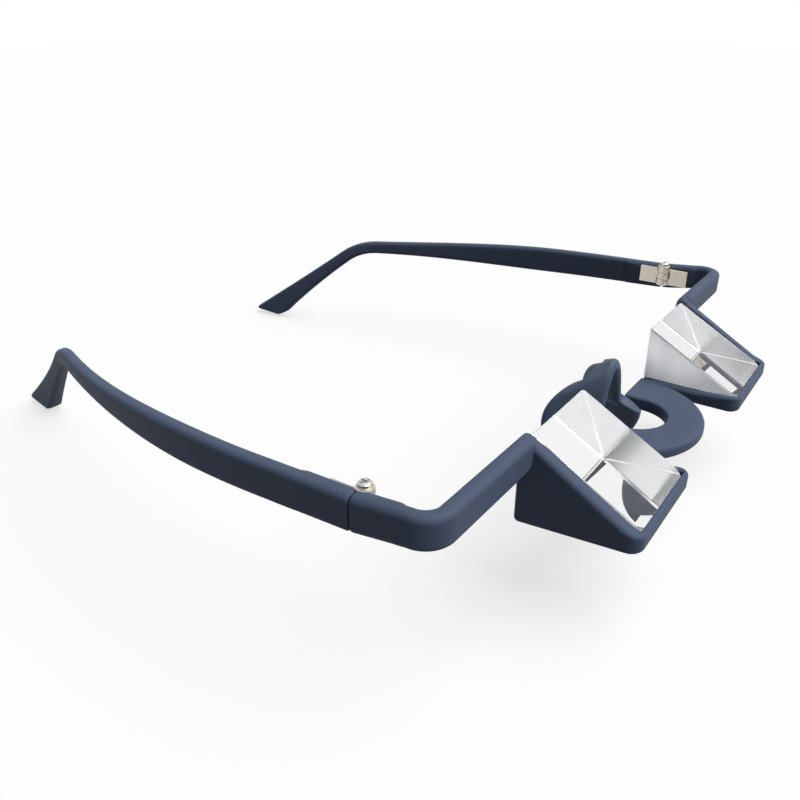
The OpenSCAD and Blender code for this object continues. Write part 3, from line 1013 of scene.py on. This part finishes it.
    def bridge(self) -> Piece:
        """Makes the round bridge plate with its cut for the nose.

        Returns:
            The new object.
        """
        back = self.layout.glass_high.y
        radius = self.inner_x + self.plate_reach
        centre_y = radius - self.plate_band / 2
        gap_y = back - self.gap_depth + self.gap_radius
        half = self.plate / 2
        reach = self.inner_x + self.plate_tuck
        plate = add_disc("bridge", (0, centre_y, half), radius, self.plate, 192)

        def rim(edge: bmesh.types.BMEdge) -> bool:
            """Says whether an edge is sharp and level."""
            return is_sharp(edge) and abs(edge.verts[0].co.z - edge.verts[1].co.z) < 0.001

        bevel(plate, rim, self.plate_edge, 6)
        strip = add_block("strip", (-reach, centre_y - 30, -5), (reach, back, 9))
        combine(plate, [strip], "INTERSECT")
        gap = add_disc("nose_cut", (0, gap_y, half), self.gap_radius, self.plate + 2, 128)
        steps = [self.gap_edge * (1 - math.cos(math.radians(15 * i))) for i in range(7)]
        cut_loops(gap, 2, steps + [self.plate - step for step in steps])

        def flare(co: Vector) -> Vector:
            """Widens the cutter to both faces of the plate and stretches its rear half.

            Args:
                co: A vertex's place.

            Returns:
                Its new place.
            """
            inside = min(co.z, self.plate - co.z)
            grown = 1 + rounding(inside, self.gap_edge) / self.gap_radius
            y = gap_y + (co.y - gap_y) * grown
            return Vector((co.x * grown, y + (back if co.y > gap_y + 0.01 else 0), co.z))

        shape(gap, flare)
        combine(plate, [gap], "DIFFERENCE")
        return plate

    def build(self) -> Piece:
        """Models the whole front moulding.

        Returns:
            The new object.
        """
        body = self.tray()
        combine(body, [self.arm_bar()])
        combine(body, self.layout.hinge_room(-1), "DIFFERENCE")
        add_mirrored(body)
        combine(body, [self.bridge()])
        body.name = body.data.name = "front_moulding"
        finish_mesh(body)
        return body


@dataclass
class Prism:
    """One 30-60-90 glass wedge: polished faces, a mirrored base, a ground nose side and a satin outer side."""

    side: Side
    land: float = 0.35
    front_corner: float = 1.0
    rear_corner: float = 0.5
    edge: float = 0.3
    lift: float = 0.03

    def build(self) -> Piece:
        """Models the prism inside the box of its solid, a hair above the mirror layer.

        Returns:
            The new object.
        """
        low, high = (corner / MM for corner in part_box(f"prism_{self.side.value}"))
        low.z += self.lift
        glass = add_block(f"glass_{self.side.value}", low, high)

        def wedge(co: Vector) -> Vector:
            """Lowers the upper front corners of the block."""
            front_top = co.z > low.z + 1 and co.y < low.y + 1
            return Vector((co.x, co.y, low.z + self.land)) if front_top else co

        def upright(edge: bmesh.types.BMEdge, front: bool) -> bool:
            """Says whether an edge stands upright, in front or behind."""
            first, second = (v.co for v in edge.verts)
            return (first.xy - second.xy).length < 0.001 and (first.y < low.y + 1) == front

        shape(glass, wedge)
        self.slope = Vector((0, low.z + self.land - high.z, high.y - low.y)).normalized()
        bevel(glass, lambda e: upright(e, True), self.front_corner, 1)
        bevel(glass, lambda e: upright(e, False), self.rear_corner, 1)

        def round_slope(edge: bmesh.types.BMEdge) -> bool:
            """Says whether an edge bounds the sloping face."""
            front = all(v.co.y < low.y + 0.01 for v in edge.verts)
            return not front and is_sharp(edge) and sum(self.on_slope(face.normal) for face in edge.link_faces) == 1

        bevel(glass, round_slope, self.edge, 1)
        return glass

    def on_slope(self, normal: Vector) -> bool:
        """Says whether a face with this normal belongs to the sloping face."""
        return normal.dot(self.slope) > 0.995

    def face_slots(self, glass: Piece) -> None:
        """Gives each face its finish: 0 polished, 1 ground, 2 mirrored, 3 satin.

        Args:
            glass: The prism's object.
        """
        for face in glass.data.polygons:
            if face.normal.z < -0.9:
                face.material_index = 2
            elif face.normal.x * self.side.sign > 0.9:
                face.material_index = 3
            else:
                face.material_index = 0 if self.on_slope(face.normal) or face.normal.y > 0.995 else 1


@dataclass
class NoseSaddle:
    """The arched pad that straddles the nose, with a wing on each side."""

    layout: Layout
    plate: float = 2.8
    crest: float = 9.5
    crest_fall: float = 1.9
    crest_front: float = 0.25
    crest_back: float = 3.0
    front_half: float = 5.15
    rear_half: float = 10.8
    leg: float = 4.4
    reach: float = 10.9
    drop: float = 6.0
    wall: float = 2.0
    crest_wall: float = 1.0
    foot_wall: float = 0.9
    waist: tuple[float, float] = (0.48, -0.09)
    base_share: float = 0.2
    widening: float = 1.86
    front_turn: float = 60.0
    back_turn: float = 1.58
    splay: float = 0.15
    taper: float = 12.0
    end_share: float = 0.55
    square: float = 0.6
    end_edge: float = 0.45
    last: float = 1.5
    around: int = 40
    stations: int = 120

    def middle(self, u: float, v: float) -> Vector:
        """Gives a point in the middle of the wall.

        Args:
            u: Place across the nose, 0 at the crest and past 1 along the hanging wings.
            v: Place from 0 in front to 1 behind.

        Returns:
            The point.
        """
        turned = math.radians(90 * min(abs(u), 1))
        over = max(abs(u) - 1, 0)
        base = self.plate * self.base_share
        sine = math.sin(turned)
        high = self.crest + self.plate - base - self.crest_fall * v
        waist = self.waist[0] + (self.waist[1] - self.waist[0]) * v
        wide = self.front_half + (self.rear_half - self.front_half) * max(v, 0) ** self.widening
        x = wide * sine + self.splay * over
        z = base + high * math.cos(turned) * (1 - waist * sine ** 2) - self.drop / (self.last - 1) * over
        legs = 2 * self.leg * over * over
        front = self.crest_front - (self.crest_front + self.leg) * sine ** self.front_turn + legs
        back = self.crest_back + (self.reach - self.crest_back) * sine ** self.back_turn - self.reach * over * over
        return Vector((math.copysign(x, u) if u else 0, self.layout.glass_high.y + front + (back - front) * v, z))

    def normal(self, u: float, v: float) -> Vector:
        """Gives the outward direction of the wall at a point.

        Args:
            u: Place across the nose.
            v: Place from front to back.

        Returns:
            The direction.
        """
        across = self.middle(u + 0.01, v) - self.middle(u - 0.01, v)
        along = self.middle(u, v + 0.02) - self.middle(u, v - 0.02)
        return across.cross(along).normalized()

    def build(self) -> Piece:
        """Models the saddle from a rod that is bent over the nose.

        Returns:
            The new object.
        """
        rod = add_disc("nose_saddle_pad", (0, 0, 0), 1, 2, self.around)
        cut_loops(rod, 2, [-1 + 2 * i / self.stations for i in range(1, self.stations)])

        def settle(co: Vector) -> Vector:
            """Puts a point of the rod on the saddle.

            Args:
                co: A vertex's place.

            Returns:
                Its new place.
            """
            u = self.last * co.z
            to_end = min((1 - abs(co.z)) * self.taper, 1)
            shrink = self.end_share + (1 - self.end_share) * math.sqrt(1 - (1 - to_end) ** 2)
            wall = self.wall + self.crest_wall * max(math.cos(math.radians(60 * u)), 0) ** 4
            flat, proud = (math.copysign(abs(c) ** self.square, c) if abs(c) > 1e-6 else 0 for c in (co.x, co.y))
            v = 0.5 + 0.5 * shrink * flat
            foot = self.foot_wall * smooth(abs(u), 0.6, 0.9) * (1 - smooth(v, 0.2, 0.5)) * max(proud, 0)
            return self.middle(u, v) + self.normal(u, v) * ((0.5 * wall * proud + foot) * shrink)

        shape(rod, settle)
        bevel(rod, lambda e: is_sharp(e, 50), self.end_edge, 3)
        finish_mesh(rod, 60)
        return rod


@dataclass
class Temple:
    """One temple: a bowed shank, a bend above the ear and a drop that flares to a slanted, rounded tip."""

    side: Side
    layout: Layout
    shank: float = 94.8
    straight: float = 19.0
    bow_radius: float = 187.0
    drop_bow_radius: float = 153.0
    joint_high: float = 6.5
    middle_high: float = 6.9
    neck_high: float = 3.7
    tip_high: float = 6.85
    tip_slant: float = 4.6
    tip_reach: float = 4.1
    tip_round: tuple[float, float] = (1.2, 1.6)
    tip_flare: float = 0.45
    tip_power: float = 1.5
    least_high: float = 0.3
    rise_share: float = 0.35
    neck_share: float = 0.98
    loops: int = 64
    thick: float = 3.0
    tip_thick: float = 4.3
    edge: float = 1.1
    fall: float = 3.4
    drop_angle: float = 38.0
    drop: float = 42.4
    bend_radius: float = 17.0
    boss_length: float = 9.5

    def __post_init__(self) -> None:
        """Works out the start of the temple and the stretches of its centre line."""
        self.start_y = self.layout.joint_y + self.layout.joint_gap / 2
        cut = self.bend_radius * math.tan(math.radians(self.drop_angle / 2))
        self.flat = self.shank - cut
        self.arc = self.bend_radius * math.radians(self.drop_angle)
        self.tail = self.drop - cut
        self.length = self.flat + self.arc + self.tail

    def outer(self, run: float) -> float:
        """Gives the X of the outer face.

        Args:
            run: Distance behind the joint.

        Returns:
            The place across the glasses.
        """
        curved = min(max(run, self.straight), self.shank) - self.straight
        past = max(run - self.shank, 0)
        slope = (self.shank - self.straight) / self.bow_radius
        bowed = curved * curved / (2 * self.bow_radius) + slope * past
        return self.layout.half_width - bowed + past * past / (2 * self.drop_bow_radius)

    def path(self, s: float) -> tuple[float, float, float, float]:
        """Follows the centre line in side view.

        Args:
            s: Length along it.

        Returns:
            The distance behind the joint, the height, the downward angle and the share of the drop.
        """
        lean = math.radians(self.drop_angle)
        turned = lean * min(max((s - self.flat) / self.arc, 0), 1)
        down = max(s - self.flat - self.arc, 0)
        flat = min(s, self.flat)
        run = flat + self.bend_radius * math.sin(turned) + down * math.cos(lean)
        level = self.layout.end_middle - self.fall * flat / self.shank
        level -= self.bend_radius * (1 - math.cos(turned)) + down * math.sin(lean)
        return run, level, turned, down / self.tail

    def height(self, run: float, share: float) -> float:
        """Gives the temple's height.

        Args:
            run: Distance behind the joint.
            share: Share of the drop.

        Returns:
            The height.
        """
        middle = self.rise_share * self.shank
        high = self.joint_high + (self.middle_high - self.joint_high) * min(run / middle, 1)
        high += (self.neck_high - self.middle_high) * smooth(run, middle, self.neck_share * self.shank)
        return high + (self.tip_high - self.neck_high) * share ** self.tip_power

    def place(self, s: float, a: float, b: float) -> Vector:
        """Puts a point of the straight bar on the temple.

        Args:
            s: Distance along the bar.
            a: Offset across its thickness, outwards.
            b: Offset along its height.

        Returns:
            The point on the left temple.
        """
        share = self.path(s)[3]
        up = b / (self.joint_high / 2)
        rounded = self.tip_round[up > 0] * up ** 4
        run, level, tilt, down = self.path(s + share * share * (self.tip_slant * (up - 1) + self.tip_reach - rounded))
        boss = 1 - smooth(s, self.boss_length, self.boss_length + self.layout.end_ramp)
        thick = self.thick + (self.layout.end - self.thick) * boss
        thick += (self.tip_thick - self.thick) * share ** self.tip_power
        high = self.height(run, down) * (1 if b > 0 else 1 + self.tip_flare * down * down)
        upright = math.copysign(max(abs(b) + (high - self.joint_high) / 2, abs(b) * self.least_high), b)
        x = self.outer(run) - thick / 2 + a * thick / self.thick
        return Vector((x, self.start_y + run + upright * math.sin(tilt), level + upright * math.cos(tilt)))

    def build(self) -> Piece:
        """Models the temple.

        Returns:
            The new object.
        """
        stations = [self.length * i / self.loops for i in range(1, self.loops)]
        stations += [self.boss_length + self.layout.end_ramp * i / 6 for i in range(7)]
        name = f"temple_bar_{self.side.value}"
        size = (self.thick, self.length, self.joint_high)
        bar = swept_bar(name, size, self.edge, stations, self.place, (0.4, 1.1))
        combine(bar, self.layout.hinge_room(1), "DIFFERENCE")
        if self.side is Side.RIGHT:
            flip_side(bar)
        bar.data.name = name
        finish_mesh(bar)
        return bar


@dataclass
class HingePart:
    """A leaf or a screw of a hinge, softened along its edges."""

    node: str
    name: str
    softening: float = 0.00009
    sharp: float = 40.0

    def build(self, frame: dict) -> Piece:
        """Copies the solid's mesh, merges it and softens its edges.

        Args:
            frame: The loaded frame.

        Returns:
            The new object.
        """
        piece = bpy.data.objects.new(self.name, frame["nodes"][self.node].data.copy())
        bpy.context.scene.collection.objects.link(piece)
        with edit_mode(piece):
            bpy.ops.mesh.remove_doubles(threshold=1e-6)
            bpy.ops.mesh.dissolve_limited(angle_limit=math.radians(1))
        sharp = math.radians(self.sharp)
        apply_modifier(piece, "BEVEL", width=self.softening, segments=2, limit_method="ANGLE", angle_limit=sharp)
        even_shading(piece, 32)
        return piece


# Studio


@dataclass
class Studio:
    """A pale floor, plain soft light and the camera at the photograph's viewing angle."""

    floor_z: float
    camera_place: tuple[float, float, float] = (-0.14213, -0.0312, 0.07542)
    azimuth: float = -54.94
    elevation: float = 26.49
    focal_pixels: float = 770.6
    picture: float = 800
    sensor: float = 36.0
    fill: float = 0.045
    sky: float = 1.0
    sun: float = 3.5
    sun_spread: float = 60.0
    sun_way: tuple[float, float, float] = (-0.15, 0.5, -0.86)
    floor_radius: float = 3.0
    floor_lit: tuple[float, float, float] = (0.10, 0.10, 0.11)
    floor_seen: tuple[float, float, float] = (0.95, 0.95, 0.95)
    floor_glow: float = 0.7

    def seen(self, shader: Shader) -> Signal:
        """Gives 1 on camera, glossy and transmission rays.

        Args:
            shader: The node tree that needs it.

        Returns:
            The signal, 0 on other rays.
        """
        path = shader.add("ShaderNodeLightPath")
        camera, glossy, through = (
            Signal(shader, path.outputs[name]) for name in ("Is Camera Ray", "Is Glossy Ray", "Is Transmission Ray")
        )
        return camera.largest(glossy).largest(through)

    def world(self) -> None:
        """Lights the scene from all round, and shows white behind it."""
        world = bpy.data.worlds.new("studio")
        bpy.context.scene.world = world
        shader = Shader(world)
        strength = self.seen(shader) * (self.sky - self.fill) + self.fill
        background = shader.add("ShaderNodeBackground", {}, {"Color": WHITE, "Strength": strength})
        shader.finish(background.outputs[0])

    def floor(self) -> None:
        """Lays a large pale floor, which a camera, metal and glass see nearly white."""
        clear_selection()
        middle = (0, 0.07, self.floor_z)
        bpy.ops.mesh.primitive_circle_add(vertices=96, radius=self.floor_radius, fill_type="NGON", location=middle)
        floor = bpy.context.object
        floor.name = "floor"
        material = bpy.data.materials.new("pale_floor")
        shader = Shader(material)
        bright = self.seen(shader)
        colour = shader.blend(bright, self.floor_lit, self.floor_seen)
        lit = shader.add("ShaderNodeBsdfDiffuse", {}, {"Color": colour})
        white = shader.add("ShaderNodeEmission", {}, {"Color": WHITE, "Strength": 1.0})
        shader.finish(shader.mix(bright * self.floor_glow, lit.outputs[0], white.outputs[0]))
        dress(floor, material)
        floor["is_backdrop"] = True

    def lamp(self) -> None:
        """Hangs one very wide, soft light overhead, which lights the floor evenly."""
        light = bpy.data.lights.new("overhead", "SUN")
        light.energy = self.sun
        light.angle = math.radians(self.sun_spread)
        lamp = bpy.data.objects.new("overhead", light)
        bpy.context.scene.collection.objects.link(lamp)
        lamp.location = (0, 0, 1)
        lamp.rotation_euler = Vector(self.sun_way).to_track_quat("-Z", "Y").to_euler()

    def camera(self) -> None:
        """Sets the camera where the photograph was taken from."""
        view = bpy.data.cameras.new("camera")
        view.sensor_width = self.sensor
        view.lens = self.focal_pixels / self.picture * self.sensor
        view.clip_start = 0.005
        eye = bpy.data.objects.new("camera", view)
        bpy.context.scene.collection.objects.link(eye)
        eye.location = self.camera_place
        eye.rotation_euler = (math.radians(90 - self.elevation), 0, math.radians(self.azimuth))
        bpy.context.scene.camera = eye

    def build(self) -> None:
        """Sets up the light, the floor and the camera."""
        bpy.context.scene.view_settings.view_transform = "Standard"
        self.world()
        self.floor()
        self.lamp()
        self.camera()


def attach(piece: Piece, body: str, slot: str, *nodes: str) -> None:
    """Fixes a finished piece to its body, in place of its solids, and reports it.

    Args:
        piece: The finished piece.
        body: The body that it moves with.
        slot: The record's material slot; not used.
        nodes: The solids that it stands for.
    """
    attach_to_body(piece, body)
    if nodes:
        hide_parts(*nodes)
    log.info("%s rides on %s: %d faces", piece.name, body, len(piece.data.polygons))


def main() -> None:
    """Builds and dresses every piece, then the studio."""
    logging.basicConfig(level=logging.INFO, format="%(message)s")
    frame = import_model()
    solid_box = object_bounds()
    layout = Layout.read(frame)
    soft_touch = SoftTouch().build()
    saddle_finish = SoftTouch("saddle_navy", (0.072, 0.100, 0.158), roughness=0.5, specular=0.25).build()
    polished = PolishedGlass().build()
    ground = GroundGlass().build()
    silvered = silvering("silvering", 0.02).build()
    satin = silvering("satin_silvering", 0.35).build()
    nickel = Metal("nickel_silver", (0.63, 0.58, 0.50)).build()
    steel = Metal("screw_steel", (0.56, 0.55, 0.54), roughness=0.24).build()
    adhesive = Finish("cured_adhesive", (0.82, 0.8, 0.72)).build()

    front = FrontMoulding(layout).build()
    dress(front, soft_touch)
    attach(front, "front", "moulding", "front_frame")

    saddle = NoseSaddle(layout).build()
    dress(saddle, saddle_finish)
    attach(saddle, "front", "saddle", "nose_saddle")

    for side in Side:
        prism = Prism(side)
        glass = prism.build()
        finish_mesh(glass, 20)
        dress(glass, polished, ground, silvered, satin)
        prism.face_slots(glass)
        attach(glass, "front", "glass", f"prism_{side.value}")

        temple = Temple(side, layout).build()
        dress(temple, soft_touch)
        attach(temple, f"{side.value}_temple", "moulding", f"temple_{side.value}")

        for kind, body in (("front_leaf", "front"), ("temple_leaf", f"{side.value}_temple")):
            node = f"{kind}_{side.value}"
            leaf = HingePart(node, f"{kind}_plate_{side.value}").build(frame)
            dress(leaf, nickel)
            attach(leaf, body, "hinge_metal", node)
        screw = HingePart(f"hinge_screw_{side.value}", f"screw_{side.value}", 0.00005).build(frame)
        dress(screw, steel)
        attach(screw, "front", "screw_metal", f"hinge_screw_{side.value}")
        dress(frame["nodes"][f"mirror_layer_{side.value}"], silvered)
        dress(frame["nodes"][f"adhesive_bed_{side.value}"], adhesive)

    Studio(floor_z=solid_box[0][2]).build()


if __name__ == "__main__":
    main()
